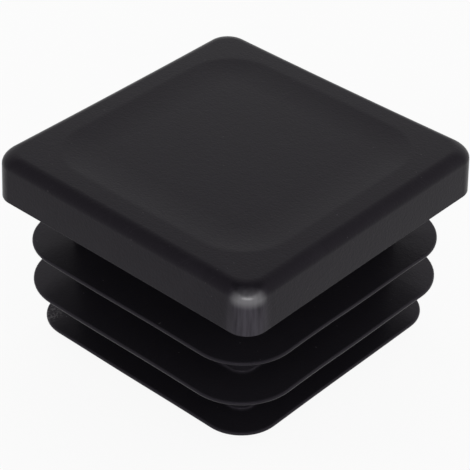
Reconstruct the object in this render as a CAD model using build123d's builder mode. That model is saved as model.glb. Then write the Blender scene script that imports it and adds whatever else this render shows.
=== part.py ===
from build123d import *
from math import cos, radians, sin, tan
import os

os.makedirs("parts", exist_ok=True)

# A square end cap of black polyethylene for a 30 x 30 mm tube, moulded in one piece.
# A flat head closes the end of the tube. Under it a hollow square stem carries three thin
# fins, which bend against the inner walls of the tube and hold the cap there by friction.
# The origin is the centre of the stem's lower rim, +Z runs up to the head, and the flats
# are square to X and Y. Sizes are in millimetres and angles in degrees.

# The tube that the cap closes
tube_width = 30.0
tube_wall = 1.0  # the thinnest wall that the fins still grip

# Head, as wide as the tube where it rests on it, and narrowing a little upwards
head_height = 4.5
head_draft = 1.5
head_corner_radius = 2.0  # the four upright corners
head_top_radius = 1.15  # the soft edge all round the top

# Shallow dish in the top of the head, which falls in a soft S from a flat border
dish_border = 2.6  # from the edge of the head's top to the lip
dish_lip_radius = 5.0
dish_slope = 5.0
dish_slope_run = 0.3  # the straight part between the two curves, along the slope
dish_foot_radius = 38.0
dish_floor_corner = 1.0

# Stem, narrowing downwards
stem_gap = 3.45  # from the tube's inner wall to the stem, just under the head
stem_tail = 0.8  # what stands out below the root of the lowest fin
stem_corner_radius = 1.2
stem_draft = 1.0
stem_root_radius = 0.4
stem_wall = 1.6  # at the lower rim, where it is thinnest
stem_rim_chamfer = 0.3

# Hollow in the stem, open at the bottom and narrowing upwards
head_floor = 2.5  # from the end of the hollow to the top of the head
hollow_corner_radius = 1.2
hollow_draft = 1.0
hollow_end_chamfer = 0.4

# Fins, from the head down: two that grip the tube's inner wall and a smaller one that leads in
first_fin_drop = 4.6  # from the head's underside to the top of the first fin
fin_pitch = 4.2
first_fin_grip = 0.25  # how far a side of the fin stands past the tube's inner wall
first_fin_easing = 0.3  # how much more its corners are rounded than the stem's outline, grown evenly
second_fin_grip = 0.35
second_fin_easing = 0.4
lead_fin_clearance = 0.8  # how far a side of the fin stays inside the tube's inner wall
fin_tip_thickness = 0.4
fin_root_thickness = 0.75
fin_root_depth = 0.1  # how far its slope runs on into the stem's wall
fin_tip_chamfer = 0.1
fin_root_chamfer = 0.25

# What follows from these sizes
bore_width = tube_width - 2 * tube_wall
stem_width = bore_width - 2 * stem_gap
fin_overhangs = [stem_gap + first_fin_grip, stem_gap + second_fin_grip, stem_gap - lead_fin_clearance]
fin_easings = [first_fin_easing, second_fin_easing, 0]
lowest_fin_drop = first_fin_drop + (len(fin_overhangs) - 1) * fin_pitch
seat_level = lowest_fin_drop + fin_root_thickness + stem_tail
top_level = seat_level + head_height
fin_tops = [seat_level - first_fin_drop - number * fin_pitch for number in range(len(fin_overhangs))]
stem_foot_width = stem_width - 2 * seat_level * tan(radians(stem_draft))
hollow_width = stem_foot_width - 2 * stem_wall
hollow_depth = top_level - head_floor
head_top_width = tube_width - 2 * head_height * tan(radians(head_draft))
dish_width = head_top_width - 2 * dish_border

# Dish: one S-shaped section, taken round a square path with rounded corners, and the flat
# floor inside it. This is the body of air that the top of the head lacks.
dish_turn = radians(dish_slope)
dish_run = (dish_lip_radius + dish_foot_radius) * sin(dish_turn) + dish_slope_run * cos(dish_turn)
dish_corner = dish_floor_corner + dish_run
with BuildSketch(Plane.XY.offset(top_level)) as dish_outline:
    RectangleRounded(dish_width, dish_width, dish_corner)
dish_path = dish_outline.sketch.face().outer_wire()
dish_inward = Vector(0, 0, 1).cross(dish_path % 0)
with BuildPart() as dish:
    with BuildSketch(Plane(origin=dish_path @ 0, x_dir=dish_inward, z_dir=dish_path % 0)):
        with BuildLine():
            lip = JernArc((0, 0), (1, 0), dish_lip_radius, -dish_slope)
            slope = Line(lip @ 1, lip @ 1 + (lip % 1) * dish_slope_run)
            foot = JernArc(slope @ 1, slope % 1, dish_foot_radius, dish_slope)
            dish_depth = -(foot @ 1).Y
            Polyline(foot @ 1, (dish_run, dish_depth), (0, dish_depth), (0, 0))
        make_face()
    sweep(path=dish_path)
    with BuildSketch(Plane.XY.offset(top_level - dish_depth)):
        RectangleRounded(dish_width - 2 * dish_run, dish_width - 2 * dish_run, dish_floor_corner)
    extrude(amount=2 * dish_depth)

# Fins: each is flat on top and thickens underneath, from its tip to the stem, in one long
# slope. The slope ends a little inside the stem's wall, so that the two become one solid.
# Its corners follow the stem's at the same overhang all round, and those of the two that grip
# are eased a little more.
fins = []
fin_slope_rise = fin_root_thickness - fin_tip_thickness
for fin_top, overhang, easing in zip(fin_tops, fin_overhangs, fin_easings):
    fin_width = stem_width + 2 * overhang
    fin_corner = stem_corner_radius + overhang + easing
    fin_slope_run = (fin_width - stem_foot_width) / 2 + fin_root_depth
    tip_underside = fin_top - fin_tip_thickness
    with BuildPart() as fin:
        with BuildSketch(Plane.XY.offset(fin_top)):
            RectangleRounded(fin_width, fin_width, fin_corner)
        extrude(amount=-fin_root_thickness)
        underside = fin.faces().sort_by(Axis.Z)[0]
        chamfer(underside.edges(), fin_slope_run, fin_slope_rise, reference=underside)
        tip_edges = fin.edges().filter_by_position(Axis.Z, fin_top, fin_top)
        tip_edges += fin.edges().filter_by_position(Axis.Z, tip_underside, tip_underside)
        chamfer(tip_edges, fin_tip_chamfer)
    fins.append(fin.part)

# Hollow: the air inside the stem, flat at its upper end and bevelled all round it.
with BuildPart() as hollow:
    with BuildSketch(Plane.XY):
        RectangleRounded(hollow_width, hollow_width, hollow_corner_radius)
    extrude(amount=hollow_depth, taper=hollow_draft)
    chamfer(hollow.edges().group_by(Axis.Z)[-1], hollow_end_chamfer)


def edges_inside(cap, width, low, high):
    """The edges between two levels whose middles lie within a square of this width."""
    reach = width / 2
    found = cap.edges().filter_by_position(Axis.Z, low, high)
    return found.filter_by_position(Axis.X, -reach, reach).filter_by_position(Axis.Y, -reach, reach)


with BuildPart() as tube_end_cap:
    # Head: a drafted square slab with rounded corners, a soft upper edge and the dish.
    with BuildSketch(Plane.XY.offset(seat_level)):
        RectangleRounded(tube_width, tube_width, head_corner_radius)
    extrude(amount=head_height, taper=head_draft)
    fillet(tube_end_cap.edges().group_by(Axis.Z)[-1], head_top_radius)
    add(dish.part, mode=Mode.SUBTRACT)

    # Stem: a drafted square with a radius where it meets the head.
    with BuildSketch(Plane.XY.offset(seat_level)):
        RectangleRounded(stem_width, stem_width, stem_corner_radius)
    extrude(amount=-seat_level, taper=stem_draft)
    fillet(edges_inside(tube_end_cap, stem_width, seat_level, seat_level), stem_root_radius)

    # Fins: each meets the stem in a small bevel, above and below.
    for fin_top, fin_solid in zip(fin_tops, fins):
        add(fin_solid)
        root_edges = edges_inside(tube_end_cap, stem_width, fin_top - fin_root_thickness, fin_top)
        chamfer(root_edges, fin_root_chamfer)

    # Hollow: open at the lower rim, which is bevelled inside and out.
    add(hollow.part, mode=Mode.SUBTRACT)
    chamfer(tube_end_cap.edges().group_by(Axis.Z)[0], stem_rim_chamfer)

tube_end_cap.part.label = "tube_end_cap"
export_step(tube_end_cap.part, "parts/tube_end_cap.step")
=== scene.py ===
from math import cos, pi, radians, sin, tan

import bmesh
import bpy
from mathutils import Matrix, Vector


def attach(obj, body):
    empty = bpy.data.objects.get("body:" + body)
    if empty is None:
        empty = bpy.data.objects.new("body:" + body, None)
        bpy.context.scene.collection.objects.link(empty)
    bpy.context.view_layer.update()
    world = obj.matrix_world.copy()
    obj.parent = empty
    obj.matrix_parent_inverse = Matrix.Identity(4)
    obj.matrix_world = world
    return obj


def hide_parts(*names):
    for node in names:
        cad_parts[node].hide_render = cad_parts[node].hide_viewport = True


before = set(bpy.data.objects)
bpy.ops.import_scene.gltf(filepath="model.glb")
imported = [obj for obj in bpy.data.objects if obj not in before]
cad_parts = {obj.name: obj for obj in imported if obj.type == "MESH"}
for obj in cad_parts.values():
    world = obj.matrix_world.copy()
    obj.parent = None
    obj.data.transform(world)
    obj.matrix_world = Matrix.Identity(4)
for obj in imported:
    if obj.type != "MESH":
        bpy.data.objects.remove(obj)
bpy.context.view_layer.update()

# The cap: a square push-in end for a 30 x 30 mm tube, injection moulded in one piece from
# black polyethylene. Its head closes the tube, and the hollow stem under it carries three
# thin fins that bend against the tube's inner walls. It is modelled here in millimetres.
tube_width = 30.0
tube_wall = 1.0
bore_width = tube_width - 2 * tube_wall
head_height = 4.5
stem_tail = 0.8
first_fin_drop = 4.6
fin_pitch = 4.2
fin_root_thickness = 0.75
fin_widths = [bore_width + 0.5, bore_width + 0.7, bore_width - 1.6]
fin_corners = [5.2, 5.4, 3.85]
seat_level = first_fin_drop + 2 * fin_pitch + fin_root_thickness + stem_tail
top_level = seat_level + head_height
fin_tops = [seat_level - first_fin_drop - number * fin_pitch for number in range(len(fin_widths))]
corner_steps = 16  # flats in each upright corner, the same all the way down so that loops match
small_round_steps = 4
near = 0.0001  # closer than this counts as the same place
lift = Vector((0, 0, 0.37))


def reach(place):
    """How far out a point stands from the middle, square to the sides."""
    return max(abs(place.x), abs(place.y))


def ring(level, inner=0.0, outer=tube_width):
    """A test for the points at one level that stand between two distances from the middle."""
    return lambda place: abs(place.z - level) < near and inner < reach(place) < outer


def band(low, high):
    """A test for the points from one level up to another."""
    return lambda place: low - near < place.z < high + near


def pick(kind, wanted):
    """Selects only the edges or faces of the mesh being edited whose every corner is wanted."""
    bpy.ops.mesh.select_mode(type="EDGE" if kind == "edges" else "FACE")
    bpy.ops.mesh.select_all(action="DESELECT")
    mesh = bmesh.from_edit_mesh(cap.data)
    for item in getattr(mesh, kind):
        item.select_set(all(wanted(corner.co) for corner in item.verts))
    bmesh.update_edit_mesh(cap.data)


def select_edges(edges):
    """Selects only these edges of the mesh being edited."""
    bpy.ops.mesh.select_all(action="DESELECT")
    for edge in edges:
        edge.select_set(True)
    bmesh.update_edit_mesh(cap.data)


def add_block(width, low_width, low, high, corner):
    """Adds an upright square block with rounded corners, wider or narrower at its foot."""
    middle = (0, 0, (low + high) / 2)
    bpy.ops.mesh.select_all(action="DESELECT")
    bpy.ops.mesh.primitive_cube_add(size=1, location=middle)
    bpy.ops.transform.resize(value=(width, width, high - low), center_override=middle)
    mesh = bmesh.from_edit_mesh(cap.data)
    block = [edge for edge in mesh.edges if edge.select]
    foot = [edge for edge in block if all(end.co.z < middle[2] for end in edge.verts)]
    uprights = [edge for edge in block if abs(edge.verts[0].co.z - edge.verts[1].co.z) > near]
    bpy.ops.mesh.select_mode(type="EDGE")
    select_edges(foot)
    share = low_width / width
    bpy.ops.transform.resize(value=(share, share, 1), center_override=(0, 0, low))
    select_edges(uprights)
    bpy.ops.mesh.bevel(offset=corner, segments=corner_steps, affect="EDGES", clamp_overlap=False)


def open_end(wanted):
    """Takes away the end face whose corners are wanted, and leaves its outline."""
    pick("faces", wanted)
    bpy.ops.mesh.delete(type="FACE")


def round_off(wanted, radius, steps=small_round_steps):
    """Rounds the edges whose ends are wanted."""
    pick("edges", wanted)
    bpy.ops.mesh.bevel(offset=radius, segments=steps, affect="EDGES", clamp_overlap=False)


def bridge(first, second):
    """Joins two open outlines with a band of faces. The first is lifted meanwhile, because two
    outlines at one level can be joined the wrong way round."""
    pick("edges", first)
    bpy.ops.transform.translate(value=lift)
    pick("edges", lambda place: first(place - lift) or second(place))
    bpy.ops.mesh.bridge_edge_loops()
    pick("edges", lambda place: first(place - lift))
    bpy.ops.transform.translate(value=-lift)


# The dish in the top: from its outline, the face is stepped inwards and down along a soft S.
head_draft = radians(1.5)
head_top_width = tube_width - 2 * head_height * tan(head_draft)
dish_border = 2.6
dish_width = head_top_width - 2 * dish_border
dish_lip_radius = 5.0
dish_slope = radians(5.0)
dish_slope_run = 0.3
dish_foot_radius = 38.0
dish_floor_corner = 1.0
dish_run = (dish_lip_radius + dish_foot_radius) * sin(dish_slope) + dish_slope_run * cos(dish_slope)
lip_steps = 5
foot_steps = 12
turns = [dish_slope * step / lip_steps for step in range(lip_steps + 1)]
turns += [dish_slope * (1 - step / foot_steps) for step in range(foot_steps + 1)]
bpy.ops.object.select_all(action="DESELECT")
bpy.ops.mesh.primitive_plane_add(size=dish_width)
cap = bpy.context.object
cap.name = "moulded_cap"
bpy.ops.object.mode_set(mode="EDIT")
bpy.ops.transform.translate(value=(0, 0, top_level))
bpy.ops.mesh.select_mode(type="VERT")
bpy.ops.mesh.select_all(action="SELECT")
bpy.ops.mesh.bevel(offset=dish_floor_corner + dish_run, segments=corner_steps, affect="VERTICES")
bpy.ops.mesh.select_mode(type="FACE")
bpy.ops.mesh.select_all(action="SELECT")
for turn, next_turn in zip(turns, turns[1:]):
    radius = dish_lip_radius if next_turn > turn else dish_foot_radius
    run = radius * abs(sin(next_turn) - sin(turn))
    drop = radius * abs(cos(next_turn) - cos(turn))
    if next_turn == turn:
        run = dish_slope_run * cos(dish_slope)
        drop = dish_slope_run * sin(dish_slope)
    bpy.ops.mesh.inset(thickness=run, depth=-drop)

# The head: a low drafted block with a soft upper edge, crisp below, and a flat border round
# the dish.
head_corner = 2.0
head_top_round = 1.15
head_top_steps = 10
head_lower_round = 0.08
head_lower_steps = 2
add_block(head_top_width, tube_width, seat_level, top_level, head_corner)
outside_dish = ring(top_level, dish_width / 2 + near)
round_off(outside_dish, head_top_round, head_top_steps)
open_end(outside_dish)
bridge(outside_dish, ring(top_level, 0, dish_width / 2 + near))
round_off(ring(seat_level), head_lower_round, head_lower_steps)
open_end(ring(seat_level))

# The stem: a drafted square tube, cut at the roots of the fins and joined to the head.
stem_gap = 3.45
stem_corner = 1.2
stem_draft = radians(1.0)
stem_root_round = 0.4
stem_width = bore_width - 2 * stem_gap
stem_foot_width = stem_width - 2 * seat_level * tan(stem_draft)
add_block(stem_width, stem_foot_width, 0, seat_level, stem_corner)
outside_stem = (stem_width + dish_width) / 4  # a distance from the middle just past its walls
for level in (0, seat_level):
    open_end(ring(level, 0, outside_stem))
for fin_top in fin_tops:
    for level in (fin_top, fin_top - fin_root_thickness):
        bpy.ops.mesh.select_all(action="SELECT")
        bpy.ops.mesh.bisect(plane_co=(0, 0, level), plane_no=(0, 0, 1))
    open_end(band(fin_top - fin_root_thickness, fin_top))
under_head = ring(seat_level, 0, outside_stem)
bridge(under_head, ring(seat_level, outside_stem))
round_off(under_head, stem_root_round)

# The fins: plates with rounded tips, flat on top and thickening underneath to the stem.
fin_tip_thickness = 0.4
fin_tip_round = 0.18
fin_root_round = 0.3
for fin_top, fin_width, fin_corner in zip(fin_tops, fin_widths, fin_corners):
    tip_underside = fin_top - fin_tip_thickness
    root_underside = fin_top - fin_root_thickness
    add_block(fin_width, fin_width, tip_underside, fin_top, fin_corner)
    for level, stem_level in ((fin_top, fin_top), (tip_underside, root_underside)):
        plate_end = ring(level, outside_stem)
        stem_end = ring(stem_level, 0, outside_stem)
        round_off(plate_end, fin_tip_round)
        open_end(plate_end)
        bridge(plate_end, stem_end)
    for level in (fin_top, root_underside):
        round_off(ring(level, 0, outside_stem), fin_root_round)

# The hollow: open at the stem's rim, drafted the other way, with a soft edge round its end.
head_floor = 2.5
hollow_corner = 1.2
hollow_draft = radians(1.0)
hollow_end_round = 0.4
stem_wall = 1.6
stem_rim_round = 0.3
hollow_width = stem_foot_width - 2 * stem_wall
hollow_depth = top_level - head_floor
hollow_end_width = hollow_width - 2 * hollow_depth * tan(hollow_draft)
middle_of_rim = (stem_foot_width + hollow_width) / 4
add_block(hollow_end_width, hollow_width, 0, hollow_depth, hollow_corner)
round_off(ring(hollow_depth), hollow_end_round)
open_end(ring(0, 0, middle_of_rim))
bridge(ring(0, 0, middle_of_rim), ring(0, middle_of_rim))
bpy.ops.mesh.select_all(action="SELECT")
bpy.ops.mesh.normals_make_consistent(inside=False)
for rim in (ring(0, middle_of_rim), ring(0, 0, middle_of_rim)):
    round_off(rim, stem_rim_round)

# The sides are cut across every few millimetres, so that they and the fins can bend a little.
cut_spacing = 1.5
cuts_each_way = 6
for number in range(-cuts_each_way, cuts_each_way + 1):
    for square_to in ((1, 0, 0), (0, 1, 0)):
        cut_place = [number * cut_spacing * part for part in square_to]
        bpy.ops.mesh.select_all(action="SELECT")
        bpy.ops.mesh.bisect(plane_co=cut_place, plane_no=square_to)
bpy.ops.object.mode_set(mode="OBJECT")

# As moulded, the thin fins aren't quite flat: their tips rise and dip by a hair.
waviness = 0.22
wave_length = 9.0
full_overhang = (bore_width - stem_width) / 2
loose = cap.vertex_groups.new(name="fin_tips")
for vert in cap.data.vertices:
    overhang = reach(vert.co) - stem_width / 2
    if vert.co.z < fin_tops[0] + near and overhang > 0:
        loose.add([vert.index], min(1.0, overhang / full_overhang) ** 2, "REPLACE")
waves = bpy.data.textures.new("fin_waves", "CLOUDS")
waves.noise_scale = wave_length
waves.noise_depth = 0
bend = cap.modifiers.new("bend", "DISPLACE")
bend.direction = "Z"
bend.texture = waves
bend.texture_coords = "LOCAL"
bend.vertex_group = loose.name
bend.strength = waviness
bend.mid_level = 0.5
bpy.ops.object.modifier_apply(modifier=bend.name)


def pull_along(direction, length, shares):
    """Moves each point of the cap along one axis, by its own share of this length."""
    pulled = cap.vertex_groups.new(name="pulled")
    for vert, share in zip(cap.data.vertices, shares):
        pulled.add([vert.index], share, "REPLACE")
    pull = cap.modifiers.new("pull", "DISPLACE")
    pull.direction = direction
    pull.vertex_group = pulled.name
    pull.mid_level = 0.0
    pull.strength = length
    bpy.ops.object.modifier_apply(modifier=pull.name)


# The flat of the head's top ends in corners that are rounder than the head itself, and the soft
# edge widens round them.
flat_corner = 1.9
corner_spread = flat_corner - (head_corner - head_top_round)
corner_middle = head_top_width / 2 - head_corner
corner_margin = 0.1


def corner_share(place, axis, side):
    """How far a point of a corner moves inwards along one axis, as a share of the spread."""
    climb = (place.z - top_level + head_top_round) / head_top_round
    out, beside = abs(place[axis]) - corner_middle, abs(place[1 - axis]) - corner_middle
    if climb < near or side * place[axis] < 0 or min(out, beside) < -corner_margin:
        return 0.0
    out, beside = max(0.0, out), max(0.0, beside)
    turned = out / max(near, (out * out + beside * beside) ** 0.5)
    return (1 - max(0.0, 1 - climb * climb) ** 0.5) * (1 - turned)


corner_pulls = []
for axis, direction in enumerate("XY"):
    for side in (-1, 1):
        shares = [corner_share(vert.co, axis, side) for vert in cap.data.vertices]
        corner_pulls.append((direction, -side * corner_spread, shares))
for direction, length, shares in corner_pulls:
    pull_along(direction, length, shares)

# The head's sides drew in a little between the corners as they cooled, each by its own amount.
soft_margin = 1.5
half_width = tube_width / 2
side_sinks = ((0, -1, 0.1), (1, 1, 0.15), (0, 1, 0.05), (1, -1, 0.05))
for axis, side, sink in side_sinks:
    shares = []
    for vert in cap.data.vertices:
        depth = max(0.0, min(1.0, side * vert.co[axis] - (half_width - soft_margin)))
        between = max(0.0, 1 - (vert.co[1 - axis] / half_width) ** 2)
        shares.append(depth * between if vert.co.z > seat_level - near else 0.0)
    pull_along("XY"[axis], -side * sink, shares)

# The finished mesh is shaded smooth up to its crisp edges and brought to metres.
crisp_edge = radians(40)
mm = 0.001
bpy.ops.object.shade_smooth_by_angle(angle=crisp_edge)
level_faces = cap.modifiers.new("level_faces", "WEIGHTED_NORMAL")
level_faces.keep_sharp = True
bpy.ops.object.modifier_apply(modifier=level_faces.name)
cap.scale = (mm, mm, mm)
bpy.ops.object.transform_apply(location=True, rotation=True, scale=True)
cap.vertex_groups.clear()


class Flow:
    """Wraps a shader socket, so that sums on it add Math nodes."""

    tree = None

    def __init__(self, socket):
        self.socket = socket

    @classmethod
    def node(cls, kind, output=0, settings=None, **values):
        """Adds a node: its settings first, then the values or links of its inputs. An input is
        given by its name, or as "at" and its number."""
        made = cls.tree.nodes.new(kind)
        for name, value in (settings or {}).items():
            setattr(made, name, value)
        for name, value in values.items():
            socket = made.inputs[int(name[2:]) if name.startswith("at") else name]
            if isinstance(value, Flow):
                cls.tree.links.new(value.socket, socket)
            else:
                socket.default_value = value
        return cls(made.outputs[output])

    def sum(self, operation, other, swapped=False):
        """Adds a Math node on this socket and another, or on a number."""
        first, second = (other, self) if swapped else (self, other)
        return Flow.node("ShaderNodeMath", settings={"operation": operation}, at0=first, at1=second)

    def __add__(self, other):
        return self.sum("ADD", other)

    def __radd__(self, other):
        return self.sum("ADD", other, True)

    def __sub__(self, other):
        return self.sum("SUBTRACT", other)

    def __rsub__(self, other):
        return self.sum("SUBTRACT", other, True)

    def __mul__(self, other):
        return self.sum("MULTIPLY", other)

    def __rmul__(self, other):
        return self.sum("MULTIPLY", other, True)


# The plastic: black polyethylene, satin from the mould, with a fine grain. The near corner of
# the head is rougher on its upright round and shiny on its top round. It is also painted paler
# there, as a painted highlight and a painted reflection of the floor in front. One end of the
# lowest fin is scuffed, and the top has a few hairlines. The stem and fins are painted paler to
# lift the shade under the head, and they keep some dust.
base_colour = (0.0058, 0.0050, 0.0072, 1)
# The next colour serves both for wear on the top and for painted light: the painted highlight at the
# near corner and the painted lift of the shade on the stem and fins.
pale_wear_and_painted_light_colour = (0.056, 0.052, 0.062, 1)
pale_colour = (0.20, 0.19, 0.20, 1)
satin = 0.33
plastic = bpy.data.materials.new("black_polyethylene")
plastic.use_nodes = True
Flow.tree = plastic.node_tree
shader = plastic.node_tree.nodes["Principled BSDF"]
object_place = Flow(plastic.node_tree.nodes.new("ShaderNodeTexCoord").outputs["Object"])
place = Flow.node("ShaderNodeMapping", Vector=object_place, Scale=(1 / mm, 1 / mm, 1 / mm))
across, along, height = (Flow.node("ShaderNodeSeparateXYZ", part, at0=place) for part in "XYZ")


def noise(size, detail, where=place):
    """Soft random values, in patches of about this size in millimetres."""
    return Flow.node("ShaderNodeTexNoise", 0, Vector=where, Scale=1 / size, Detail=detail)


def drawn_out(length, width, depth, turn=0.0):
    """The place, for a pattern whose patches are this long, wide and deep."""
    settings = {"vector_type": "TEXTURE"}
    size = (length, width, depth)
    return Flow.node("ShaderNodeMapping", 0, settings, Vector=place, Rotation=(0, 0, turn), Scale=size)


def rise(value, low, high):
    """From 0 at one value to 1 at another, smoothly."""
    settings = {"interpolation_type": "SMOOTHSTEP"}
    return Flow.node("ShaderNodeMapRange", 0, settings, at0=value, at1=low, at2=high)


def above(level, softness):
    """From 0 below this level to 1 above it, over this distance each way."""
    return rise(height, level - softness, level + softness)


def near_to(spot, radius):
    """From 0 at this distance from a spot to 1 at half of it."""
    settings = {"operation": "DISTANCE"}
    distance = Flow.node("ShaderNodeVectorMath", "Value", settings, at0=place, at1=spot)
    return 1 - rise(distance, radius / 2, radius)


def hairlines(turn, length, width, share):
    """Fine scratches that run one way and cover about this share of the surface."""
    lines = noise(1.0, 1.0, drawn_out(length, width, 1, turn))
    return rise(lines, 1 - share, 1.06 - share)


def mix_colour(share, first, second):
    """Goes from one colour to another."""
    return Flow.node("ShaderNodeMix", 2, {"data_type": "RGBA"}, at0=share, at6=first, at7=second)


def feed(name, flow):
    """Links a value or colour to an input of the plastic's shader."""
    plastic.node_tree.links.new(flow.socket, shader.inputs[name])


# Where each kind of wear and of painted light lies, from 0 to 1.
grain = noise(0.2, 1.0)
mottle = noise(2.4, 3.0)
streaks = noise(1.0, 2.0, drawn_out(0.3, 0.3, 3.0))
on_head = above(seat_level, 0.1)
on_top = above(top_level - 0.6, 0.1)
below_edge = 1 - above(top_level - head_top_round, 0.2)
to_corner = across - along  # 28.8 at the head's near corner
# A streaky strip at the head's near corner is painted paler, as a painted reflection of the bright floor
# in front. The same mask also makes the surface rougher there.
corner_rub_and_painted_sheen = on_head * rise(to_corner, 27.0, 29.0) * (1.7 * streaks - 0.05)
# On the near corner's top round: a shiny coat, plus a little paler colour there as a painted highlight.
polish_and_painted_highlight = rise(to_corner, 27.5, 28.6) * above(top_level - 1.5, 0.5)
scuff_middle = (-12.1, -12.1, fin_tops[2])
scuff = near_to(scuff_middle, 1.9) * rise(grain + 0.6 * mottle, 0.72, 0.98)
dust = rise(noise(0.22, 0.0), 0.86, 0.90) * (1 - 0.6 * on_head)
first_scratches = hairlines(radians(40), 3.0, 0.10, 0.34)
second_scratches = hairlines(radians(-25), 2.2, 0.08, 0.30)
scratches = (first_scratches + second_scratches) * on_top
worn_patches = rise(mottle, 0.52, 0.75)
# Everything below the head, where the head's shade falls, is painted paler: painted light that lifts
# that shade.
painted_lift_below_head = 1 - on_head

# What the wear and the painted light do to the colour, the gloss and the surface.
# This paler share mixes real wear (hairlines, patches) with painted light (the near corner's painted
# highlight and the painted lift of the shade below the head).
wear_and_painted_light = corner_rub_and_painted_sheen + 0.25 * polish_and_painted_highlight + 0.08 * scratches + 0.03 * worn_patches + 0.22 * painted_lift_below_head
pale = 0.5 * scuff + 0.45 * dust
feed("Base Color", mix_colour(pale, mix_colour(wear_and_painted_light, base_colour, pale_wear_and_painted_light_colour), pale_colour))
worn_dull = 0.18 * corner_rub_and_painted_sheen * below_edge + 0.05 * scratches + 0.3 * pale
feed("Roughness", satin + 0.08 * (mottle - 0.5) + worn_dull)
surface_height = grain + 0.5 * noise(0.5, 1.0)
bump_height = 0.012 * mm
feed("Normal", Flow.node("ShaderNodeBump", 0, Strength=1.0, Distance=bump_height, Height=surface_height))
feed("Coat Weight", polish_and_painted_highlight)
shader.inputs["Coat Roughness"].default_value = 0.3
shader.inputs["Coat IOR"].default_value = 2.0
shader.inputs["Specular IOR Level"].default_value = 0.115
shader.inputs["Specular Tint"].default_value = (0.93, 0.82, 1.0, 1)
cap.data.materials.clear()
cap.data.materials.append(plastic)
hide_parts("tube_end_cap")
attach(cap, "root")

# The floor: plain white paper that the cap stands on. It looks white to the camera and in what
# the cap mirrors, and it keeps the cap's faint shadow.
floor_size = 6.0
whiteness = 0.92
bpy.ops.object.select_all(action="DESELECT")
bpy.ops.mesh.primitive_plane_add(size=floor_size, location=(0, 0, 0))
floor = bpy.context.object
floor.name = "floor"
paper = bpy.data.materials.new("white_paper")
paper.use_nodes = True
Flow.tree = paper.node_tree
paper_shader = paper.node_tree.nodes["Principled BSDF"]
paper_shader.inputs["Base Color"].default_value = (0.9, 0.9, 0.9, 1)
paper_shader.inputs["Roughness"].default_value = 0.9
paper_shader.inputs["Specular IOR Level"].default_value = 0.1
rays = paper.node_tree.nodes.new("ShaderNodeLightPath")
from_camera, mirrored, seen_through = (
    Flow(rays.outputs[name]) for name in ("Is Camera Ray", "Is Glossy Ray", "Is Transmission Ray")
)
white_share = (from_camera + mirrored + seen_through) * whiteness
glow = paper.node_tree.nodes.new("ShaderNodeEmission")
blend = paper.node_tree.nodes.new("ShaderNodeMixShader")
paper_output = paper.node_tree.nodes["Material Output"]
paper.node_tree.links.new(white_share.socket, blend.inputs[0])
paper.node_tree.links.new(paper_shader.outputs[0], blend.inputs[1])
paper.node_tree.links.new(glow.outputs[0], blend.inputs[2])
paper.node_tree.links.new(blend.outputs[0], paper_output.inputs["Surface"])
floor.data.materials.append(paper)


def toward_side(turn, climb):
    """The direction this far round from the cap's front and this high above the floor."""
    return Vector((sin(turn) * cos(climb), -cos(turn) * cos(climb), sin(climb)))


# The camera: a long lens at the photograph's angle, aimed a little below the cap's top.
camera_climb = radians(35.805)
camera_turn = radians(41.789)
camera_roll = radians(1.043)
camera_distance = 171.192 * mm
camera_across = -0.167 * mm
camera_up = -7.479 * mm
lens_length = 152.098
top_middle = Vector((0, 0, top_level * mm))
toward = toward_side(camera_turn, camera_climb)
level_right = Vector((cos(camera_turn), sin(camera_turn), 0))
level_up = toward.cross(level_right)
right = cos(camera_roll) * level_right + sin(camera_roll) * level_up
upward = cos(camera_roll) * level_up - sin(camera_roll) * level_right
lens = bpy.data.cameras.new("camera")
lens.lens = lens_length
lens.clip_start = 0.01
camera = bpy.data.objects.new("camera", lens)
bpy.context.scene.collection.objects.link(camera)
camera_place = top_middle + toward * camera_distance + right * camera_across + upward * camera_up
camera_axes = Matrix((right, upward, toward)).transposed().to_4x4()
camera.matrix_world = Matrix.Translation(camera_place) @ camera_axes
bpy.context.scene.camera = camera

# The light: one low soft box in front of the cap. The room gives the rest.
box_width = 0.60
box_height = 0.16
box_climb = radians(7)
box_distance = 0.8
box_radiance = 3.0
soft_box = bpy.data.lights.new("front", "AREA")
soft_box.shape = "RECTANGLE"
soft_box.size = box_width
soft_box.size_y = box_height
soft_box.energy = box_radiance * pi * box_width * box_height
lamp = bpy.data.objects.new("front", soft_box)
bpy.context.scene.collection.objects.link(lamp)
away = toward_side(camera_turn, box_climb)
lamp.location = top_middle + away * box_distance
lamp.rotation_euler = (-away).to_track_quat("-Z", "Y").to_euler()

# The room: evenly pale walls all round, a little brighter on the right, and a darker ceiling
# that reaches further down in front.
dark_light = 0.2
wall_light = 0.8
extra_on_right = 0.12
ceiling_climb = radians(70)
ceiling_edge = radians(52)
ceiling_core = radians(30)
world = bpy.data.worlds.new("studio")
world.use_nodes = True
bpy.context.scene.world = world
Flow.tree = world.node_tree
background = world.node_tree.nodes["Background"]
direction = Flow(world.node_tree.nodes.new("ShaderNodeTexCoord").outputs["Generated"])
on_right, overhead = (
    Flow.node("ShaderNodeVectorMath", "Value", {"operation": "DOT_PRODUCT"}, at0=direction, at1=aim)
    for aim in (level_right, toward_side(camera_turn, ceiling_climb))
)
on_walls = 1 - rise(overhead, cos(ceiling_edge), cos(ceiling_core))
room_light = dark_light + (wall_light + extra_on_right * on_right) * on_walls
world.node_tree.links.new(room_light.socket, background.inputs["Strength"])
background.inputs["Color"].default_value = (1, 1, 1, 1)
bpy.context.scene.view_settings.view_transform = "Standard"
